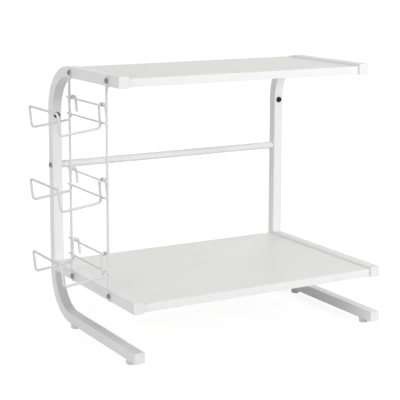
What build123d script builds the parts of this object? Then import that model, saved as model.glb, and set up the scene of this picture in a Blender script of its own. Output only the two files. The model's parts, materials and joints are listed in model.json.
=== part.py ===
from build123d import *
import os

# Counter-top microwave shelf. Two bent square-tube side frames carry two boards
# and are braced at the back by a round crossbar. The left side has a wire rack
# on which three bent-wire holders hang. Sizes are in millimetres, +Z is up and
# the open front faces -Y. The origin is at floor level under the middle of the
# overall size, so the side frames stand a little to the right of it.

# Side frames of square tube
frame_width = 580.0  # over the outer faces of both side frames
frame_depth = 402.0  # rear face of the posts to the front of the foot caps
tube_size = 22.0
tube_wall = 1.2
tube_corner = 2.0  # outer corner radius of the tube
foot_bend_radius = 87.0  # to the tube's centre line
top_bend_radius = 92.0  # to the tube's centre line
lower_rail_height = 107.5  # floor to the underside of the lower rail
upper_rail_height = 531.0  # floor to the underside of the upper rail
lower_rail_setback = 2.5  # lower rail's front behind the foot's front
upper_rail_setback = 58.5  # upper rail's front behind the foot's front

# Slip joint in each post
upper_post_straight = 25.0  # from the line where the two tubes meet to the top bend
sleeve_wall = 1.5
sleeve_below = 45.0  # sleeve length in the lower tube
sleeve_above = 23.5  # sleeve length in the upper tube
sleeve_clearance = 0.1
joint_bolt_rise = 18.4  # bolt above the joint line
joint_bolt_diameter = 6.0
joint_bolt_length = 12.0
joint_head_diameter = 13.0
joint_head_height = 4.5
joint_nut_width = 8.4
joint_nut_thickness = 4.0

# Feet and end caps
foot_height = 10.0
foot_diameter = 19.0
foot_round = 1.5
foot_stem_diameter = 8.0
foot_stem_length = 6.0
front_foot_inset = 38.5  # foot centre behind the front of the foot tube
rear_foot_inset = 103.0  # foot centre ahead of the rear face of the post
cap_flange = 2.5
cap_round = 0.8
cap_plug_length = 14.0
cap_plug_wall = 1.6
cap_clearance = 0.15

# Crossbar between the posts
crossbar_drop = 89.0  # centre of the bar below the line where the two tubes meet
crossbar_diameter = 16.0
crossbar_wall = 1.2
collar_length = 8.5
collar_chamfer = 0.6
spigot_length = 20.0
spigot_clearance = 0.1
crimp_distance = 6.5  # crimp behind the end of the crossbar
crimp_width = 1.6
crimp_depth = 0.5
brace_bolt_diameter = 6.0
brace_bolt_grip = 16.0  # thread length in the collar and spigot
brace_head_diameter = 11.0
brace_head_height = 3.8

# Boards and their edging
board_thickness = 16.0
board_lift = 1.2  # board's underside above the rail's underside
board_side_gap = 0.25
board_front_setback = 4.3  # board's front behind the rail's front
lower_board_rear_setback = 5.0  # from the rear face of the posts
upper_board_rear_setback = 71.5  # from the rear face of the posts
edging_thickness = 0.8
edging_round = 0.5

# Screws from the rails into the board edges
screw_diameter = 4.8
screw_bite = 28.0  # length in the board
screw_head_diameter = 11.0
screw_head_height = 3.2
screw_tip = 0.8
rear_screw_inset = 119.5  # rear screws and rack rod ahead of the posts' rear face
front_screw_inset = 49.0  # front screws and rack rod behind the upper rail's front

# Wire rack on the left side
rod_diameter = 5.0
lug_width = 14.0
lug_thickness = 2.0
lug_shoulder = 5.0  # length over which the round rod is flattened
cross_wire_diameter = 3.8
cross_wire_overhang = 3.0  # past the centre of each rod
weld_depth = 0.4
top_wire_drop = 38.2  # top hanging wire below the upper rail
bottom_wire_rise = 70.9  # bottom hanging wire above the lower rail
wire_spacing = 32.8  # hanging wire to the steadying wire below it

# Hook-on holders of bent wire
holder_wire = 5.0
hook_gap = 0.3  # between the holder and the wires that carry it
hook_half_width = 7.0  # to the wire's centre line
hook_bend_radius = 6.5
hook_free_drop = 28.0  # free end below the hanging wire
hook_splay = 3.1
leg_drop = 42.4  # bottom of the leg below the hanging wire
arm_reach = 83.0
arm_drop = 10.6
upright_height = 43.0
upright_lean_out = 4.9
hook_inset = 17.5  # hooks inside the rods, with the holder in the middle
holder_bend_radius = 7.0
holder_end_round = 1.0
holder_shifts = {"top": -5.3, "middle": -3.6, "bottom": -9.7}  # along the rack, from its middle

# Small clearances and drive recesses shared by the fasteners
hole_clearance = 0.4
thread_clearance = 0.05
recess_depth = 2.0
head_rim = 1.0  # straight edge of a domed head
head_crown = 6.0  # flat in the middle of a domed head
hex_recess_width = 4.0
cross_recess_length = 5.0
cross_recess_width = 1.1

# Places worked out from the sizes above
cross_wire_x = rod_diameter + cross_wire_diameter / 2 - weld_depth
wire_reach = cross_wire_diameter / 2 + hook_gap + holder_wire / 2
leg_lean = (hook_half_width - wire_reach) * (leg_drop + wire_reach) / (wire_spacing + wire_reach)
leg_foot_x = hook_half_width - leg_lean
holder_reach = cross_wire_x + leg_foot_x + arm_reach + upright_lean_out + holder_wire / 2
frame_middle = (holder_reach - brace_head_height) / 2
left_face = frame_middle - frame_width / 2
right_face = frame_middle + frame_width / 2
left_tube_x = left_face + tube_size / 2
right_tube_x = right_face - tube_size / 2
rear_face = frame_depth / 2
front_face = -frame_depth / 2
post_y = rear_face - tube_size / 2
post_front = rear_face - tube_size
upper_rail_front = front_face + upper_rail_setback
lower_rail_front = front_face + lower_rail_setback
rear_rod_y = rear_face - rear_screw_inset
front_rod_y = upper_rail_front + front_screw_inset
rod_spacing = rear_rod_y - front_rod_y
rack_middle_y = (rear_rod_y + front_rod_y) / 2
hook_spacing = rod_spacing - 2 * hook_inset
joint_height = upper_rail_height + tube_size / 2 - top_bend_radius - upper_post_straight
crossbar_height = joint_height - crossbar_drop
tube_bore = tube_size - 2 * tube_wall
through_tube = 2 * tube_size  # drill length for both walls of a tube
screw_rows = (rear_rod_y, front_rod_y)
foot_rows = {"front": front_face + front_foot_inset, "rear": rear_face - rear_foot_inset}
side_x = {"left": left_tube_x, "right": right_tube_x}
rail_heights = {"lower": lower_rail_height, "upper": upper_rail_height}
levels = ("top", "middle", "bottom")
top_wire_height = upper_rail_height - top_wire_drop
bottom_wire_height = lower_rail_height + tube_size + bottom_wire_rise
wire_pitch = (top_wire_height - bottom_wire_height) / (len(levels) - 1)
wire_heights = {level: top_wire_height - step * wire_pitch for step, level in enumerate(levels)}

pieces = {}


def rounded_square(width, radius):
    return RectangleRounded(width, width, radius)


def square_tube(path, x_direction):
    """Hollow square tube along a path in the YZ plane."""
    start = Plane(origin=path @ 0, x_dir=x_direction, z_dir=path % 0)
    outer = sweep(start * rounded_square(tube_size, tube_corner), path=path)
    bore_corner = tube_corner - tube_wall
    inner = sweep(start * rounded_square(tube_bore, bore_corner), path=path)
    return outer - inner


def hole_along_x(diameter, y, z, length):
    return Pos(0, y, z) * Rot(0, 90, 0) * Cylinder(diameter / 2, length)


def hole_along_y(diameter, y, z, length):
    return Pos(0, y, z) * Rot(90, 0, 0) * Cylinder(diameter / 2, length)


def screw_holes(rail_height):
    """Clearance holes for the two board screws, right through a rail."""
    drill = screw_diameter + 2 * hole_clearance
    centre = rail_height + tube_size / 2
    return [hole_along_x(drill, y, centre, through_tube) for y in screw_rows]


def lower_frame():
    """Foot, rear bend and lower post, one bent tube."""
    foot_z = foot_height + tube_size / 2
    corner_points = (
        (0, front_face + cap_flange, foot_z),
        (0, post_y, foot_z),
        (0, post_y, joint_height),
    )
    path = FilletPolyline(*corner_points, radius=foot_bend_radius)
    tube = square_tube(path, (1, 0, 0))
    tube -= hole_along_x(brace_bolt_diameter + 2 * hole_clearance, post_y, crossbar_height, through_tube)
    stem_hole = Cylinder(foot_stem_diameter / 2 + thread_clearance, tube_size)
    for foot_y in foot_rows.values():
        tube -= Pos(0, foot_y, foot_height) * stem_hole
    return tube


def upper_frame():
    """Upper post, top bend and upper rail, one bent tube."""
    rail_z = upper_rail_height + tube_size / 2
    corner_points = (
        (0, post_y, joint_height),
        (0, post_y, rail_z),
        (0, upper_rail_front + cap_flange, rail_z),
    )
    path = FilletPolyline(*corner_points, radius=top_bend_radius)
    tube = square_tube(path, (1, 0, 0))
    for hole in screw_holes(upper_rail_height):
        tube -= hole
    bolt_hole = joint_bolt_diameter + 2 * hole_clearance
    tube -= hole_along_y(bolt_hole, post_front, joint_height + joint_bolt_rise, tube_size)
    return tube


def lower_rail():
    """Cantilevered rail, welded square to the front of the post."""
    rail_z = lower_rail_height + tube_size / 2
    path = Line((0, post_front, rail_z), (0, lower_rail_front + cap_flange, rail_z))
    tube = square_tube(path, (1, 0, 0))
    for hole in screw_holes(lower_rail_height):
        tube -= hole
    return tube


def post_sleeve():
    """Inner tube that joins the two halves of a post."""
    width = tube_bore - 2 * sleeve_clearance
    corner = tube_corner - tube_wall
    bore = width - 2 * sleeve_wall
    bottom = joint_height - sleeve_below
    length = sleeve_below + sleeve_above
    outer = extrude(Pos(0, post_y, bottom) * rounded_square(width, corner), length)
    inner = extrude(Pos(0, post_y, bottom) * Rectangle(bore, bore), length)
    wall_y = post_y - width / 2
    bolt_hole = joint_bolt_diameter + 2 * hole_clearance
    return outer - inner - hole_along_y(bolt_hole, wall_y, joint_height + joint_bolt_rise, tube_size)


def joint_nut():
    """Weld nut inside the sleeve, behind its front wall."""
    front = post_y - (tube_bore / 2 - sleeve_clearance - sleeve_wall)
    seat = Plane(origin=(0, front, joint_height + joint_bolt_rise), x_dir=(1, 0, 0), z_dir=(0, 1, 0))
    nut = extrude(seat * RegularPolygon(joint_nut_width / 2, 6, major_radius=False), joint_nut_thickness)
    thread = extrude(seat * Circle(joint_bolt_diameter / 2 + thread_clearance), joint_nut_thickness)
    return nut - thread


def domed_head(diameter, height):
    """Button head standing on the XY plane, its dome towards +Z."""
    radius = diameter / 2
    crown = head_crown / 2
    outline = make_face(
        [
            Line((0, 0), (radius, 0)),
            Line((radius, 0), (radius, head_rim)),
            TangentArc((radius, head_rim), (crown, height), tangent=(0, 1)),
            Line((crown, height), (0, height)),
            Line((0, height), (0, 0)),
        ]
    )
    return revolve(Rot(90, 0, 0) * outline, Axis.Z)


def hex_bolt(shank_diameter, shank_length, head_diameter, head_height):
    """Button-head bolt with a hexagon recess; the shank runs towards -Z."""
    hexagon = RegularPolygon(hex_recess_width / 2, 6, major_radius=False)
    recess = extrude(Pos(0, 0, head_height - recess_depth) * hexagon, head_height)
    shank = extrude(Circle(shank_diameter / 2), -shank_length)
    return domed_head(head_diameter, head_height) - recess + shank


def cross_screw(shank_length):
    """Pan-head screw with a cross recess; the shank runs towards -Z."""
    slot = Rectangle(cross_recess_length, cross_recess_width)
    cross = slot + Rot(0, 0, 90) * slot
    recess = extrude(Pos(0, 0, screw_head_height - recess_depth) * cross, screw_head_height)
    shank = extrude(Circle(screw_diameter / 2), -shank_length)
    point = Pos(0, 0, -shank_length - screw_diameter / 2) * Cone(screw_tip / 2, screw_diameter / 2, screw_diameter)
    return domed_head(screw_head_diameter, screw_head_height) - recess + shank + point


def joint_bolt(x):
    origin = (x, post_front, joint_height + joint_bolt_rise)
    seat = Plane(origin=origin, x_dir=(1, 0, 0), z_dir=(0, -1, 0))
    return seat * hex_bolt(joint_bolt_diameter, joint_bolt_length, joint_head_diameter, joint_head_height)


def end_cap():
    """Square cap with its face on the XZ plane at y = 0 and its plug towards +Y."""
    face = Plane(origin=(0, 0, 0), x_dir=(1, 0, 0), z_dir=(0, 1, 0))
    flange = extrude(face * rounded_square(tube_size, tube_corner), cap_flange)
    flange = fillet(flange.faces().sort_by(Axis.Y)[0].edges(), cap_round)
    plug_width = tube_bore - 2 * cap_clearance
    plug_corner = tube_corner - tube_wall
    plug = extrude(face * rounded_square(plug_width, plug_corner), cap_flange + cap_plug_length)
    cup_width = plug_width - 2 * cap_plug_wall
    cup = extrude(face.offset(cap_flange) * Rectangle(cup_width, cup_width), cap_plug_length)
    return flange + plug - cup


def foot_pad():
    """Round glide with a stem that is pushed into the tube from below."""
    pad = extrude(Circle(foot_diameter / 2), foot_height)
    pad = fillet(pad.faces().sort_by(Axis.Z)[0].edges(), foot_round)
    stem = extrude(Pos(0, 0, foot_height) * Circle(foot_stem_diameter / 2), foot_stem_length)
    return pad + stem


def crossbar():
    """Round tube between the two collars, crimped onto their spigots."""
    half_length = frame_width / 2 - tube_size - collar_length
    radius = crossbar_diameter / 2
    tube = Cylinder(radius, 2 * half_length) - Cylinder(radius - crossbar_wall, 2 * half_length)
    groove = Cylinder(radius, crimp_width) - Cylinder(radius - crimp_depth, crimp_width)
    for end in (-1, 1):
        tube -= Pos(0, 0, end * (half_length - crimp_distance)) * groove
    return Pos(frame_middle, post_y, crossbar_height) * Rot(0, 90, 0) * tube


def crossbar_collar():
    """Collar and spigot, its outer end on the XY plane and its spigot towards +Z."""
    collar = extrude(Circle(crossbar_diameter / 2), collar_length)
    collar = chamfer(collar.edges().sort_by(Axis.Z)[-1], collar_chamfer)
    spigot_radius = crossbar_diameter / 2 - crossbar_wall - spigot_clearance
    spigot = extrude(Pos(0, 0, collar_length) * Circle(spigot_radius), spigot_length)
    body = collar + spigot
    groove_height = collar_length + crimp_distance
    groove = Cylinder(spigot_radius, crimp_width) - Cylinder(spigot_radius - crimp_depth, crimp_width)
    body -= Pos(0, 0, groove_height) * groove
    thread_depth = brace_bolt_grip + brace_bolt_diameter / 2
    return body - extrude(Circle(brace_bolt_diameter / 2 + thread_clearance), thread_depth)


def crossbar_end(side):
    """Plane on a post's inner face, its normal towards the crossbar."""
    inward = 1 if side == "left" else -1
    inner_face = side_x[side] + inward * tube_size / 2
    return Plane(origin=(inner_face, post_y, crossbar_height), x_dir=(0, 1, 0), z_dir=(inward, 0, 0))


def brace_bolt(side):
    outward = -1 if side == "left" else 1
    outer_face = side_x[side] + outward * tube_size / 2
    seat = Plane(origin=(outer_face, post_y, crossbar_height), x_dir=(0, 1, 0), z_dir=(outward, 0, 0))
    shank = tube_size + brace_bolt_grip
    return seat * hex_bolt(brace_bolt_diameter, shank, brace_head_diameter, brace_head_height)


def board_edges(row):
    """Front and rear Y of a board, edging included."""
    if row == "lower":
        return lower_rail_front + board_front_setback, rear_face - lower_board_rear_setback
    return upper_rail_front + board_front_setback, rear_face - upper_board_rear_setback


def board(row):
    """Board core between the two strips of edging, drilled from both sides."""
    front, rear = board_edges(row)
    depth = rear - front - 2 * edging_thickness
    width = frame_width - 2 * tube_size - 2 * board_side_gap
    bottom = rail_heights[row] + board_lift
    centre = (frame_middle, (front + rear) / 2, bottom + board_thickness / 2)
    core = Pos(*centre) * Box(width, depth, board_thickness)
    hole_depth = screw_bite + screw_diameter
    screw_z = rail_heights[row] + tube_size / 2
    drill = screw_diameter + 2 * thread_clearance
    for edge_x, inward in ((frame_middle - width / 2, 1), (frame_middle + width / 2, -1)):
        for y in screw_rows:
            hole = hole_along_x(drill, y, screw_z, hole_depth)
            core -= Pos(edge_x + inward * hole_depth / 2, 0, 0) * hole
    return core


def edging(row, edge):
    """Strip glued to the front or the rear edge of a board."""
    front, rear = board_edges(row)
    width = frame_width - 2 * tube_size - 2 * board_side_gap
    bottom = rail_heights[row] + board_lift
    inward = 1 if edge == "front" else -1
    outer_y = front if edge == "front" else rear
    centre = (frame_middle, outer_y + inward * edging_thickness / 2, bottom + board_thickness / 2)
    strip = Pos(*centre) * Box(width, edging_thickness, board_thickness)
    outer_side = strip.faces().sort_by(Axis.Y)[0 if edge == "front" else -1]
    return fillet(outer_side.edges().filter_by(Axis.X), edging_round)


def board_screws(side):
    """Four screws through one side's rails; the left ones also hold the rack's lugs."""
    outward = -1 if side == "left" else 1
    seat_x = side_x[side] + outward * tube_size / 2
    shank = tube_size + board_side_gap + screw_bite
    if side == "left":
        seat_x -= lug_thickness
        shank += lug_thickness
    screws = []
    for rail_height in rail_heights.values():
        for y in screw_rows:
            origin = (seat_x, y, rail_height + tube_size / 2)
            seat = Plane(origin=origin, x_dir=(0, 1, 0), z_dir=(outward, 0, 0))
            screws.append(seat * cross_screw(shank))
    return Compound(children=screws)


def rack_lug(y, rail_height, rounded_up):
    """Flattened rod end on a rail's outer face, rounded at its far end."""
    centre_z = rail_height + tube_size / 2
    turn = 1 if rounded_up else -1
    half_width = lug_width / 2
    half_height = tube_size / 2
    straight = half_height - half_width
    face = Plane(origin=(left_face, y, centre_z), x_dir=(0, 1, 0), z_dir=(-1, 0, 0))
    up = face.y_dir.Z * turn
    outline = make_face(
        [
            Line((-half_width, -up * half_height), (half_width, -up * half_height)),
            Line((half_width, -up * half_height), (half_width, up * straight)),
            ThreePointArc((half_width, up * straight), (0, up * half_height), (-half_width, up * straight)),
            Line((-half_width, up * straight), (-half_width, -up * half_height)),
        ]
    )
    lug = extrude(face * outline, lug_thickness)
    hole = extrude(face * Circle(screw_diameter / 2 + hole_clearance), lug_thickness)
    return lug - hole


def rack_shoulder(y, z_flat, z_round):
    """Short length where the round rod is flattened into its lug."""
    flat = Plane.XY.offset(z_flat) * Pos(left_face - lug_thickness / 2, y) * Rectangle(lug_thickness, lug_width)
    round_end = Plane.XY.offset(z_round) * Pos(left_face - rod_diameter / 2, y) * Circle(rod_diameter / 2)
    return loft([flat.face(), round_end.face()])


def rack_rod(y):
    """Upright rod with a flattened lug at each end."""
    upper_flat = upper_rail_height
    lower_flat = lower_rail_height + tube_size
    bottom = lower_flat + lug_shoulder
    top = upper_flat - lug_shoulder
    foot = Pos(left_face - rod_diameter / 2, y, bottom)
    rod = extrude(foot * Circle(rod_diameter / 2), top - bottom)
    rod += rack_shoulder(y, upper_flat, top) + rack_lug(y, upper_rail_height, True)
    rod += rack_shoulder(y, lower_flat, bottom) + rack_lug(y, lower_rail_height, False)
    return rod


def cross_wire(z):
    """Straight wire welded across the outside of both rods."""
    length = rod_spacing + 2 * cross_wire_overhang
    place = Pos(left_face - cross_wire_x, rack_middle_y, z)
    return place * Rot(90, 0, 0) * Cylinder(cross_wire_diameter / 2, length)


def holder(level):
    """One bent wire: hook, leg, arm, upright, crosspiece, and the same back again."""
    wire_x = left_face - cross_wire_x
    wire_z = wire_heights[level]
    middle_y = rack_middle_y + holder_shifts[level]
    arm_end_x = wire_x - leg_foot_x - arm_reach
    arm_end_z = wire_z - leg_drop - arm_drop
    half = []
    half.append((wire_x + hook_half_width + hook_splay, hook_spacing / 2, wire_z - hook_free_drop))
    half.append((wire_x + hook_half_width, hook_spacing / 2, wire_z + wire_reach))
    half.append((wire_x - hook_half_width, hook_spacing / 2, wire_z + wire_reach))
    half.append((wire_x - leg_foot_x, hook_spacing / 2, wire_z - leg_drop))
    half.append((arm_end_x, hook_spacing / 2, arm_end_z))
    half.append((arm_end_x - upright_lean_out, hook_spacing / 2, arm_end_z + upright_height))
    rear_half = [(x, middle_y + y, z) for x, y, z in half]
    front_half = [(x, middle_y - y, z) for x, y, z in reversed(half)]
    half_radii = [hook_bend_radius] * 2 + [holder_bend_radius] * 3
    path = FilletPolyline(*rear_half, *front_half, radius=half_radii + half_radii[::-1])
    start = Plane(origin=path @ 0, z_dir=path % 0)
    wire = sweep(start * Circle(holder_wire / 2), path=path)
    tips = wire.faces().sort_by(Axis.X)[-2:]
    return fillet([tip.edges()[0] for tip in tips], holder_end_round)


def add_side_frames():
    cap_fronts = {
        "foot": (front_face, foot_height),
        "lower_rail": (lower_rail_front, lower_rail_height),
        "upper_rail": (upper_rail_front, upper_rail_height),
    }
    for side, x in side_x.items():
        pieces[f"{side}_lower_frame"] = Pos(x, 0, 0) * lower_frame()
        pieces[f"{side}_upper_frame"] = Pos(x, 0, 0) * upper_frame()
        pieces[f"{side}_lower_rail"] = Pos(x, 0, 0) * lower_rail()
        pieces[f"{side}_post_sleeve"] = Pos(x, 0, 0) * post_sleeve()
        for name, (front, underside) in cap_fronts.items():
            pieces[f"{side}_{name}_cap"] = Pos(x, front, underside + tube_size / 2) * end_cap()
        for name, y in foot_rows.items():
            pieces[f"{side}_{name}_foot"] = Pos(x, y, 0) * foot_pad()
    pieces["post_joint_bolts"] = Compound(children=[joint_bolt(x) for x in side_x.values()])
    pieces["post_joint_nuts"] = Compound(children=[Pos(x, 0, 0) * joint_nut() for x in side_x.values()])


def add_crossbar():
    pieces["crossbar"] = crossbar()
    for side in side_x:
        pieces[f"{side}_crossbar_collar"] = crossbar_end(side) * crossbar_collar()
    pieces["crossbar_bolts"] = Compound(children=[brace_bolt(side) for side in side_x])


def add_boards():
    for row in rail_heights:
        pieces[f"{row}_board"] = board(row)
        for edge in ("front", "rear"):
            pieces[f"{row}_board_{edge}_edging"] = edging(row, edge)
    for side in side_x:
        pieces[f"{side}_board_screws"] = board_screws(side)


def add_rack():
    pieces["rack_rear_rod"] = rack_rod(rear_rod_y)
    pieces["rack_front_rod"] = rack_rod(front_rod_y)
    for level, height in wire_heights.items():
        pieces[f"{level}_hanging_wire"] = cross_wire(height)
        pieces[f"{level}_steadying_wire"] = cross_wire(height - wire_spacing)
        pieces[f"{level}_holder"] = holder(level)


add_side_frames()
add_crossbar()
add_boards()
add_rack()

os.makedirs("parts", exist_ok=True)
for name, piece in pieces.items():
    export_step(piece, f"parts/{name}.step")
print(len(pieces), "pieces, middle of the side frames at x =", round(frame_middle, 3))
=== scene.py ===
import json
import math
import bpy
from mathutils import Matrix, Vector


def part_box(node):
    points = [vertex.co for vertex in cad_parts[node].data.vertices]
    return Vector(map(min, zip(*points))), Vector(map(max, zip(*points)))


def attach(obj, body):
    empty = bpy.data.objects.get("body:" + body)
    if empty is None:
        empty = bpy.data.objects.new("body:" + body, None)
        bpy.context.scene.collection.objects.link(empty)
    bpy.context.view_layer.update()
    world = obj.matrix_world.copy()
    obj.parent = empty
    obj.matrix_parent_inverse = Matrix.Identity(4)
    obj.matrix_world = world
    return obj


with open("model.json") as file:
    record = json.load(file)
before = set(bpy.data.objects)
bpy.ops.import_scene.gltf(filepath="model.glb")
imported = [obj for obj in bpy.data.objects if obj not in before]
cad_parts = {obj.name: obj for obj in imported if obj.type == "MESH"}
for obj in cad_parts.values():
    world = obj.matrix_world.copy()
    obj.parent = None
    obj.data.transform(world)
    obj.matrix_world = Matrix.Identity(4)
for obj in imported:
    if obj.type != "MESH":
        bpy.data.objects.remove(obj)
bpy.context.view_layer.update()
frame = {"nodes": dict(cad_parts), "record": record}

print("stage: shelf frame loaded,", len(frame["nodes"]), "nodes")

mm = 0.001
white = (1.0, 1.0, 1.0, 1.0)
standBody = "rack_frame"


# small helpers for node trees

def addNode(tree, kind, spot, sockets=None, **settings):
    node = tree.nodes.new(kind)
    node.location = spot
    for name, value in settings.items():   # the data type decides which sockets there are
        setattr(node, name, value)
    for label, value in (sockets or {}).items():
        node.inputs[label].default_value = value
    return node


def objectCoords(tree):
    return addNode(tree, "ShaderNodeTexCoord", (-900, -300)).outputs["Object"]


def newGroup(name, inputs, outputs):
    # inputs give each label its first value, outputs give it its kind
    group = bpy.data.node_groups.new(name, "ShaderNodeTree")
    for label, value in inputs.items():
        kind = "NodeSocketColor" if isinstance(value, tuple) else "NodeSocketFloat"
        socket = group.interface.new_socket(name=label, in_out="INPUT", socket_type=kind)
        socket.default_value = value
    for label, kind in outputs.items():
        group.interface.new_socket(name=label, in_out="OUTPUT", socket_type=kind)
    entry = addNode(group, "NodeGroupInput", (-900, 0))
    leave = addNode(group, "NodeGroupOutput", (600, 0))
    return group, entry, leave


# shared effects, each one node group with named inputs and outputs

peelNoise = {
    "dimpleDetail": 2.0,
    "dimpleRoughness": 0.4,
    "swellDetail": 1.0,
}


def makeSurfacePeel():
    # small dimples with a slower swell under them, as cured powder and moulded plastic have
    inputs = {"Dimple Size": 600.0, "Swell Size": 90.0, "Swell Share": 0.35}
    group, entry, leave = newGroup("surfacePeel", inputs, {"Height": "NodeSocketFloat"})
    dimples = addNode(group, "ShaderNodeTexNoise", (-600, 100),
                      {"Detail": peelNoise["dimpleDetail"],
                       "Roughness": peelNoise["dimpleRoughness"]})
    swell = addNode(group, "ShaderNodeTexNoise", (-600, -200),
                    {"Detail": peelNoise["swellDetail"]})
    mix = addNode(group, "ShaderNodeMix", (-100, 0), data_type="FLOAT")
    coords = objectCoords(group)
    links = group.links
    links.new(coords, dimples.inputs["Vector"])
    links.new(coords, swell.inputs["Vector"])
    links.new(entry.outputs["Dimple Size"], dimples.inputs["Scale"])
    links.new(entry.outputs["Swell Size"], swell.inputs["Scale"])
    links.new(entry.outputs["Swell Share"], mix.inputs["Factor"])
    links.new(dimples.outputs["Fac"], mix.inputs["A"])
    links.new(swell.outputs["Fac"], mix.inputs["B"])
    links.new(mix.outputs["Result"], leave.inputs["Height"])
    return group


toneNoise = {"detail": 3.0, "low": 0.35, "high": 0.65}
sheenNoise = {"detail": 4.0, "low": 0.3, "high": 0.7}


def addSpreadNoise(group, entry, noise):
    # slow noise, with its usual range between low and high stretched to the full one
    texture = addNode(group, "ShaderNodeTexNoise", (-600, 0), {"Detail": noise["detail"]})
    spread = addNode(group, "ShaderNodeMapRange", (-300, 0),
                     {"From Min": noise["low"], "From Max": noise["high"]})
    group.links.new(objectCoords(group), texture.inputs["Vector"])
    group.links.new(entry.outputs["Patch Size"], texture.inputs["Scale"])
    group.links.new(texture.outputs["Fac"], spread.inputs["Value"])
    return spread


def makeToneDrift():
    # slow change between two close tones, as paint and plastic have
    inputs = {"Tone": white, "Other Tone": white, "Patch Size": 12.0}
    group, entry, leave = newGroup("toneDrift", inputs, {"Colour": "NodeSocketColor"})
    spread = addSpreadNoise(group, entry, toneNoise)
    mix = addNode(group, "ShaderNodeMix", (0, 0), data_type="RGBA")
    links = group.links
    links.new(spread.outputs["Result"], mix.inputs["Factor"])
    links.new(entry.outputs["Tone"], mix.inputs["A"])
    links.new(entry.outputs["Other Tone"], mix.inputs["B"])
    links.new(mix.outputs["Result"], leave.inputs["Colour"])
    return group


def makeSheenVariation():
    # roughness that wanders a little between two values
    inputs = {"Smooth": 0.3, "Rough": 0.4, "Patch Size": 40.0}
    group, entry, leave = newGroup("sheenVariation", inputs, {"Roughness": "NodeSocketFloat"})
    spread = addSpreadNoise(group, entry, sheenNoise)
    links = group.links
    links.new(entry.outputs["Smooth"], spread.inputs["To Min"])
    links.new(entry.outputs["Rough"], spread.inputs["To Max"])
    links.new(spread.outputs["Result"], leave.inputs["Roughness"])
    return group


surfacePeel = makeSurfacePeel()
toneDrift = makeToneDrift()
sheenVariation = makeSheenVariation()


def makeFinish(name, finish):
    # one material from its dictionary: tone, sheen and a fine relief
    material = bpy.data.materials.new(name)
    material.use_nodes = True
    tree = material.node_tree
    shader = tree.nodes["Principled BSDF"]
    tone = addNode(tree, "ShaderNodeGroup", (-600, 200),
                   {"Tone": finish["tone"], "Other Tone": finish["otherTone"],
                    "Patch Size": finish["tonePatch"]}, node_tree=toneDrift)
    sheen = addNode(tree, "ShaderNodeGroup", (-600, 0),
                    {"Smooth": finish["smooth"], "Rough": finish["rough"],
                     "Patch Size": finish["sheenPatch"]}, node_tree=sheenVariation)
    peel = addNode(tree, "ShaderNodeGroup", (-600, -300),
                   {"Dimple Size": finish["dimples"], "Swell Size": finish["swell"],
                    "Swell Share": finish["swellShare"]}, node_tree=surfacePeel)
    bump = addNode(tree, "ShaderNodeBump", (-250, -300),
                   {"Strength": finish["relief"], "Distance": finish["reliefDepth"]})
    shader.inputs["Metallic"].default_value = finish["metal"]
    shader.inputs["Specular IOR Level"].default_value = finish["shine"]
    tree.links.new(tone.outputs["Colour"], shader.inputs["Base Color"])
    tree.links.new(sheen.outputs["Roughness"], shader.inputs["Roughness"])
    tree.links.new(peel.outputs["Height"], bump.inputs["Height"])
    tree.links.new(bump.outputs["Normal"], shader.inputs["Normal"])
    return material


# powder coat; pattern sizes are noise scales per metre, depths are in metres

coatFamily = {
    "tonePatch": 14.0,
    "sheenPatch": 60.0,
    "swell": 90.0,
    "swellShare": 0.35,
    "metal": 0.0,
    "shine": 0.5,
}

tubeFinish = {
    **coatFamily,
    "tone": (0.84, 0.843, 0.845, 1.0),
    "otherTone": (0.815, 0.818, 0.82, 1.0),
    "smooth": 0.28,
    "rough": 0.40,
    "dimples": 600.0,
    "relief": 0.35,
    "reliefDepth": 0.00025,
}

# the wires wear the same white coat as the tubes; their tone is set darker as painted shade,
# for the shade that thin round wires show
wireFinishAndShade = {
    **coatFamily,
    "tone": (0.74, 0.743, 0.746, 1.0),
    "otherTone": (0.715, 0.718, 0.721, 1.0),
    "smooth": 0.30,
    "rough": 0.42,
    "dimples": 900.0,
    "relief": 0.25,
    "reliefDepth": 0.0002,
}

tubeCoat = makeFinish("tubeCoat", tubeFinish)
wireCoatAndShade = makeFinish("wireCoatAndShade", wireFinishAndShade)


# melamine facing: pale, with hardly visible flecks and a pearled surface

boardFinish = {
    "tone": (0.87, 0.876, 0.835, 1.0),
    "otherTone": (0.855, 0.862, 0.82, 1.0),
    "tonePatch": 6.0,
    "fleck": (0.79, 0.80, 0.75, 1.0),
    "fleckSize": 420.0,
    "fleckRim": 0.22,       # a fleck fades in from its rim to its core
    "fleckCore": 0.05,
    "fleckStrength": 0.35,
    "smooth": 0.42,
    "rough": 0.52,
    "sheenPatch": 25.0,
    "dimples": 900.0,
    "swell": 160.0,
    "swellShare": 0.35,
    "relief": 0.05,
    "reliefDepth": 0.0002,
    "metal": 0.0,
    "shine": 0.20,
    "lacquer": 0.15,        # thin clear layer in which the posts show faintly
    "lacquerRough": 0.06,
}


def makeBoardFace():
    finish = boardFinish
    material = makeFinish("boardFace", finish)
    tree = material.node_tree
    shader = tree.nodes["Principled BSDF"]
    plainTone = shader.inputs["Base Color"].links[0].from_socket
    flecks = addNode(tree, "ShaderNodeTexVoronoi", (-700, -100),
                     {"Scale": finish["fleckSize"]}, feature="F1")
    mask = addNode(tree, "ShaderNodeMapRange", (-450, -100),
                   {"From Min": finish["fleckRim"], "From Max": finish["fleckCore"],
                    "To Max": finish["fleckStrength"]})
    mix = addNode(tree, "ShaderNodeMix", (-200, 200), {"B": finish["fleck"]},
                  data_type="RGBA")
    links = tree.links
    links.new(objectCoords(tree), flecks.inputs["Vector"])
    links.new(flecks.outputs["Distance"], mask.inputs["Value"])
    links.new(mask.outputs["Result"], mix.inputs["Factor"])
    links.new(plainTone, mix.inputs["A"])
    links.new(mix.outputs["Result"], shader.inputs["Base Color"])
    shader.inputs["Coat Weight"].default_value = finish["lacquer"]
    shader.inputs["Coat Roughness"].default_value = finish["lacquerRough"]
    return material


boardFace = makeBoardFace()


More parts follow.
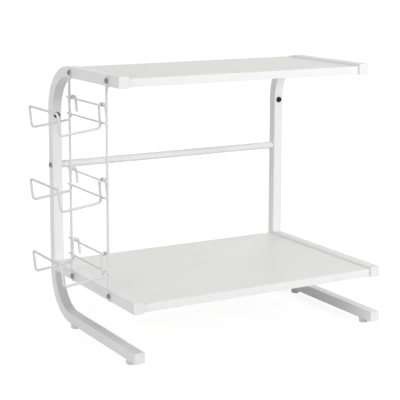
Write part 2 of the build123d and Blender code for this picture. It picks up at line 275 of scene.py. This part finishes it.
# moulded plastic: the boards' edge strips, the end caps and the feet

plasticFamily = {
    "tonePatch": 45.0,
    "sheenPatch": 120.0,
    "swell": 90.0,
    "swellShare": 0.1,
    "reliefDepth": 0.0002,
    "metal": 0.0,
    "shine": 0.5,
}

edgeFinish = {
    **plasticFamily,
    "tone": (0.84, 0.842, 0.838, 1.0),
    "otherTone": (0.825, 0.827, 0.823, 1.0),
    "smooth": 0.30,
    "rough": 0.38,
    "dimples": 1500.0,
    "relief": 0.08,
}

capFinish = {
    **plasticFamily,
    "tone": (0.82, 0.822, 0.824, 1.0),
    "otherTone": (0.80, 0.802, 0.804, 1.0),
    "smooth": 0.28,
    "rough": 0.36,
    "dimples": 1100.0,
    "relief": 0.10,
}

footFinish = {
    **plasticFamily,
    "tone": (0.78, 0.782, 0.785, 1.0),
    "otherTone": (0.74, 0.742, 0.745, 1.0),
    "smooth": 0.42,
    "rough": 0.55,
    "dimples": 1800.0,
    "relief": 0.25,
}

edgeStrip = makeFinish("edgeStrip", edgeFinish)
capPlastic = makeFinish("capPlastic", capFinish)
footPlastic = makeFinish("footPlastic", footFinish)


# metal: plated screws, the bare sleeves in the posts and the black joint bolts

metalFamily = {
    "tonePatch": 220.0,
    "sheenPatch": 500.0,
    "dimples": 2200.0,
    "swell": 90.0,
    "swellShare": 0.2,
    "relief": 0.12,
    "reliefDepth": 0.0001,
    "metal": 1.0,
    "shine": 0.5,
}

zincFinish = {
    **metalFamily,
    "tone": (0.29, 0.292, 0.30, 1.0),
    "otherTone": (0.20, 0.202, 0.21, 1.0),
    "smooth": 0.16,
    "rough": 0.30,
}

sleeveFinish = {
    **metalFamily,
    "tone": (0.50, 0.50, 0.51, 1.0),
    "otherTone": (0.42, 0.42, 0.43, 1.0),
    "smooth": 0.30,
    "rough": 0.45,
}

blackBoltFinish = {
    **metalFamily,
    "tone": (0.012, 0.012, 0.013, 1.0),
    "otherTone": (0.02, 0.02, 0.021, 1.0),
    "smooth": 0.24,
    "rough": 0.36,
    "metal": 0.0,           # a black coat hides the metal
    "shine": 0.25,
}

zincPlate = makeFinish("zincPlate", zincFinish)
sleeveSteel = makeFinish("sleeveSteel", sleeveFinish)
blackFinish = makeFinish("blackFinish", blackBoltFinish)
print("stage: materials made")

# each packed slot keeps its pieces and gets the matching finish
finishBySlot = {
    "white_tube": tubeCoat,
    "white_wire": wireCoatAndShade,
    "white_board": boardFace,
    "white_edging": edgeStrip,
    "white_cap": capPlastic,
    "grey_foot": footPlastic,
    "black_bolt": blackFinish,
    "plated_steel": zincPlate,
    "bare_steel": sleeveSteel,
}


def dressNodes():
    for entry in frame["record"]["subparts"]:
        piece = frame["nodes"][entry["node"]]
        piece.data.materials.clear()
        piece.data.materials.append(finishBySlot[entry["material_slot"]])


dressNodes()
print("stage: packed pieces dressed")


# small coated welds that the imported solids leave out; they ride on the stand's own body

smoothAngle = 50   # degrees; sharper edges on a weld stay crisp


def finishPiece(piece, material):
    bpy.ops.object.mode_set(mode="OBJECT")
    bpy.ops.object.transform_apply(location=True, rotation=True, scale=True)
    bpy.ops.object.shade_smooth_by_angle(angle=math.radians(smoothAngle))
    piece.data.materials.clear()
    piece.data.materials.append(material)
    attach(piece, standBody)


def pickVertices(mesh, test):
    bpy.ops.mesh.select_all(action="DESELECT")
    bpy.ops.object.mode_set(mode="OBJECT")
    for vertex in mesh.vertices:
        vertex.select = test(vertex.co)
    bpy.ops.object.mode_set(mode="EDIT")


def trimAway(point, direction):
    # everything on the far side of the plane goes, and the cut is closed
    bpy.ops.mesh.select_all(action="SELECT")
    bpy.ops.mesh.bisect(plane_co=point, plane_no=direction, use_fill=True, clear_outer=True)


railWeld = {
    "radius": 2.3 * mm,
    "endGap": 1.6 * mm,   # the bead stops short of the tube corners
    "scales": 11,         # ripples that the torch leaves along it
    "ripple": 0.86,       # width at a valley between two ripples
    "endTaper": 0.55,     # width at both ends
    "ringReach": 0.1,     # share of a step within which a vertex counts as on the ring
    "rooting": 0.3 * mm,  # depth of the bead in post and rail
    "sides": 20,
}


def makeRailWeld(name, rail, onTop):
    # fillet where a lower rail meets the front of its post
    low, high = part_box(rail)
    edge = Vector(((low.x + high.x) / 2, high.y, high.z if onTop else low.z))
    start = low.x + railWeld["endGap"]
    length = high.x - low.x - 2 * railWeld["endGap"]
    steps = 2 * railWeld["scales"]   # a crest and a valley for each ripple
    step = length / steps
    bpy.ops.object.select_all(action="DESELECT")
    bpy.ops.mesh.primitive_cylinder_add(vertices=railWeld["sides"], radius=railWeld["radius"],
                                        depth=length, location=edge,
                                        rotation=(0, math.radians(90), 0))
    weld = bpy.context.object
    weld.name = name
    bpy.ops.object.transform_apply(location=True, rotation=True, scale=True)
    bpy.ops.object.mode_set(mode="EDIT")
    for k in range(1, steps):
        bpy.ops.mesh.select_all(action="SELECT")
        bpy.ops.mesh.bisect(plane_co=(start + k * step, edge.y, edge.z), plane_no=(1, 0, 0))
    reach = railWeld["ringReach"] * step
    for k in range(0, steps + 1, 2):
        valley = start + k * step
        squeeze = railWeld["ripple"] if 0 < k < steps else railWeld["endTaper"]
        pickVertices(weld.data, lambda co: abs(co.x - valley) < reach)
        bpy.ops.transform.resize(value=(1, squeeze, squeeze), center_override=edge)
    up = 1 if onTop else -1
    trimAway(edge + Vector((0, railWeld["rooting"], 0)), (0, 1, 0))
    trimAway(edge - Vector((0, 0, up * railWeld["rooting"])), (0, 0, -up))
    bpy.ops.mesh.select_all(action="SELECT")
    bpy.ops.mesh.normals_make_consistent(inside=False)
    finishPiece(weld, tubeCoat)


def makeRailWelds():
    for side in ("left", "right"):
        rail = side + "_lower_rail"
        makeRailWeld(side + "RailWeldOver", rail, True)
        makeRailWeld(side + "RailWeldUnder", rail, False)


wireWeld = {
    "halfDeep": 1.35 * mm,   # across the rack, between rod and wire
    "halfWide": 2.5 * mm,
    "halfHigh": 2.75 * mm,
    "waist": 0.80,           # drawn in at mid height, where the wire sits
    "waistReach": 0.2,       # share of the half height that is drawn in
    "segments": 20,
    "rings": 12,
}


def makeWireWeld():
    # flash squeezed out beside a cross wire where it is welded to a rod
    bpy.ops.object.select_all(action="DESELECT")
    bpy.ops.mesh.primitive_uv_sphere_add(segments=wireWeld["segments"],
                                         ring_count=wireWeld["rings"], radius=1.0)
    weld = bpy.context.object
    weld.scale = (wireWeld["halfDeep"], wireWeld["halfWide"], wireWeld["halfHigh"])
    bpy.ops.object.transform_apply(location=True, rotation=True, scale=True)
    bpy.ops.object.mode_set(mode="EDIT")
    reach = wireWeld["waistReach"] * wireWeld["halfHigh"]
    pickVertices(weld.data, lambda co: abs(co.z) < reach)
    bpy.ops.transform.resize(value=(1, wireWeld["waist"], 1), center_override=(0, 0, 0))
    bpy.ops.object.mode_set(mode="OBJECT")
    return weld


def placeWireWeld(first, rod, level, kind):
    rodLow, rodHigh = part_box("rack_" + rod + "_rod")
    wireLow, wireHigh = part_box(level + "_" + kind + "_wire")
    name = rod + level.title() + kind.title() + "Weld"
    weld = bpy.data.objects.new(name, first.data.copy())
    bpy.context.scene.collection.objects.link(weld)
    weld.location = ((rodLow.x + wireHigh.x) / 2, (rodLow.y + rodHigh.y) / 2,
                     (wireLow.z + wireHigh.z) / 2)
    bpy.ops.object.select_all(action="DESELECT")
    weld.select_set(True)
    bpy.context.view_layer.objects.active = weld
    finishPiece(weld, wireCoatAndShade)


def makeWireWelds():
    first = makeWireWeld()
    for rod in ("rear", "front"):
        for level in ("top", "middle", "bottom"):
            for kind in ("hanging", "steadying"):
                placeWireWeld(first, rod, level, kind)
    bpy.data.objects.remove(first)


makeRailWelds()
makeWireWelds()
print("stage: welds made on rails and rack wires")


# studio: pale surroundings, plain white to the camera, with a floor that keeps the shadow

def splitBySight(tree, unseen, seen, output):
    # camera rays get the second shader, and so do mirrored ones and ones through glass
    path = addNode(tree, "ShaderNodeLightPath", (-600, 300))
    direct = addNode(tree, "ShaderNodeMath", (-400, 300), operation="MAXIMUM")
    anySight = addNode(tree, "ShaderNodeMath", (-200, 300), operation="MAXIMUM")
    pick = addNode(tree, "ShaderNodeMixShader", (350, 0))
    links = tree.links
    links.new(path.outputs["Is Camera Ray"], direct.inputs[0])
    links.new(path.outputs["Is Glossy Ray"], direct.inputs[1])
    links.new(direct.outputs[0], anySight.inputs[0])
    links.new(path.outputs["Is Transmission Ray"], anySight.inputs[1])
    links.new(anySight.outputs[0], pick.inputs["Fac"])
    links.new(unseen.outputs[0], pick.inputs[1])
    links.new(seen.outputs[0], pick.inputs[2])
    links.new(pick.outputs[0], output.inputs["Surface"])


def greyOf(level):
    return (level, level, level, 1.0)


floorLook = {
    "size": 60.0,
    "paint": 0.62,        # grey level that lights the object from below
    "seenPaint": 0.26,    # grey level under the glow, on which the shadow shows
    "nearGlow": 0.86,     # weaker by the object, so that its shadow still shows
    "farGlow": 0.93,
    "nearReach": 0.7,     # metres from the object's middle
    "farReach": 2.4,
}


def makeFloor():
    bpy.ops.object.select_all(action="DESELECT")
    bpy.ops.mesh.primitive_plane_add(size=floorLook["size"], location=(0, 0, 0))
    floor = bpy.context.object
    floor.name = "studioFloor"
    material = bpy.data.materials.new("floorPaint")
    material.use_nodes = True
    tree = material.node_tree
    tree.nodes.clear()
    output = addNode(tree, "ShaderNodeOutputMaterial", (600, 0))
    paint = addNode(tree, "ShaderNodeBsdfDiffuse", (-200, 0),
                    {"Color": greyOf(floorLook["paint"])})
    seenPaint = addNode(tree, "ShaderNodeBsdfDiffuse", (-200, -150),
                        {"Color": greyOf(floorLook["seenPaint"])})
    away = addNode(tree, "ShaderNodeVectorMath", (-700, -400), operation="LENGTH")
    rise = addNode(tree, "ShaderNodeMapRange", (-500, -400),
                   {"From Min": floorLook["nearReach"], "From Max": floorLook["farReach"],
                    "To Min": floorLook["nearGlow"], "To Max": floorLook["farGlow"]},
                   interpolation_type="SMOOTHSTEP")
    glow = addNode(tree, "ShaderNodeEmission", (-200, -300))
    both = addNode(tree, "ShaderNodeAddShader", (100, -200))
    links = tree.links
    links.new(objectCoords(tree), away.inputs[0])
    links.new(away.outputs["Value"], rise.inputs["Value"])
    links.new(rise.outputs["Result"], glow.inputs["Strength"])
    links.new(seenPaint.outputs[0], both.inputs[0])
    links.new(glow.outputs[0], both.inputs[1])
    splitBySight(tree, paint, both, output)
    floor.data.materials.append(material)


worldLook = {
    "fill": 0.30,       # soft light from all round
    "backdrop": 1.0,    # what the camera sees behind the object
}


def makeWorld():
    world = bpy.data.worlds.new("studioWorld")
    world.use_nodes = True
    bpy.context.scene.world = world
    tree = world.node_tree
    tree.nodes.clear()
    output = addNode(tree, "ShaderNodeOutputWorld", (600, 0))
    fill = addNode(tree, "ShaderNodeBackground", (0, 0),
                   {"Color": white, "Strength": worldLook["fill"]})
    backdrop = addNode(tree, "ShaderNodeBackground", (0, -150),
                       {"Color": white, "Strength": worldLook["backdrop"]})
    splitBySight(tree, fill, backdrop, output)


# square lamps, turned towards the middle of the object
softboxes = {
    "frontBox": {"spot": (1.6, -3.2, 1.35), "size": 0.9, "watts": 58.0},
    "topBox": {"spot": (1.2, -3.0, 2.8), "size": 1.5, "watts": 27.0},
    # far away, so that the left and the right side get the same light
    "leftBox": {"spot": (-7.75, -2.75, 4.1), "size": 5.5, "watts": 262.0},
    "lowBox": {"spot": (-7.0, -4.5, 1.15), "size": 2.2, "watts": 76.0},
    "backBox": {"spot": (1.2, 2.8, 2.0), "size": 2.4, "watts": 32.0},
}
softboxAim = Vector((0.0, 0.0, 0.28))


def makeSoftboxes():
    for name, box in softboxes.items():
        data = bpy.data.lights.new(name, "AREA")
        data.shape = "SQUARE"
        data.size = box["size"]
        data.energy = box["watts"]
        lamp = bpy.data.objects.new(name, data)
        bpy.context.scene.collection.objects.link(lamp)
        lamp.location = box["spot"]
        lamp.visible_glossy = False   # gloss shows the white surroundings, not the lamps
        lamp.rotation_euler = (softboxAim - lamp.location).to_track_quat("-Z", "Y").to_euler()


# the photograph's standpoint: front left, a little above the upper board
cameraSetup = {
    "spot": (-1.24714, -2.20851, 0.79210),
    "heading": 29.743,   # degrees, from straight ahead towards the right
    "tilt": 9.780,       # degrees downwards
    "roll": 0.126,
    "focal": 111.08,
    "sensor": 36.0,
    "shiftY": -0.10,
    "nearClip": 0.01,
    "farClip": 100.0,
}


def makeCamera():
    data = bpy.data.cameras.new("photoCamera")
    data.sensor_width = cameraSetup["sensor"]
    data.lens = cameraSetup["focal"]
    data.shift_y = cameraSetup["shiftY"]
    data.clip_start = cameraSetup["nearClip"]
    data.clip_end = cameraSetup["farClip"]
    camera = bpy.data.objects.new("photoCamera", data)
    bpy.context.scene.collection.objects.link(camera)
    turn = Matrix.Rotation(-math.radians(cameraSetup["heading"]), 4, "Z")
    nod = Matrix.Rotation(math.radians(90.0 - cameraSetup["tilt"]), 4, "X")
    roll = Matrix.Rotation(math.radians(cameraSetup["roll"]), 4, "Z")
    camera.matrix_world = Matrix.Translation(cameraSetup["spot"]) @ turn @ nod @ roll
    bpy.context.scene.camera = camera


makeFloor()
makeWorld()
makeSoftboxes()
makeCamera()
bpy.context.scene.view_settings.view_transform = "Standard"
print("stage: floor, light and camera set")
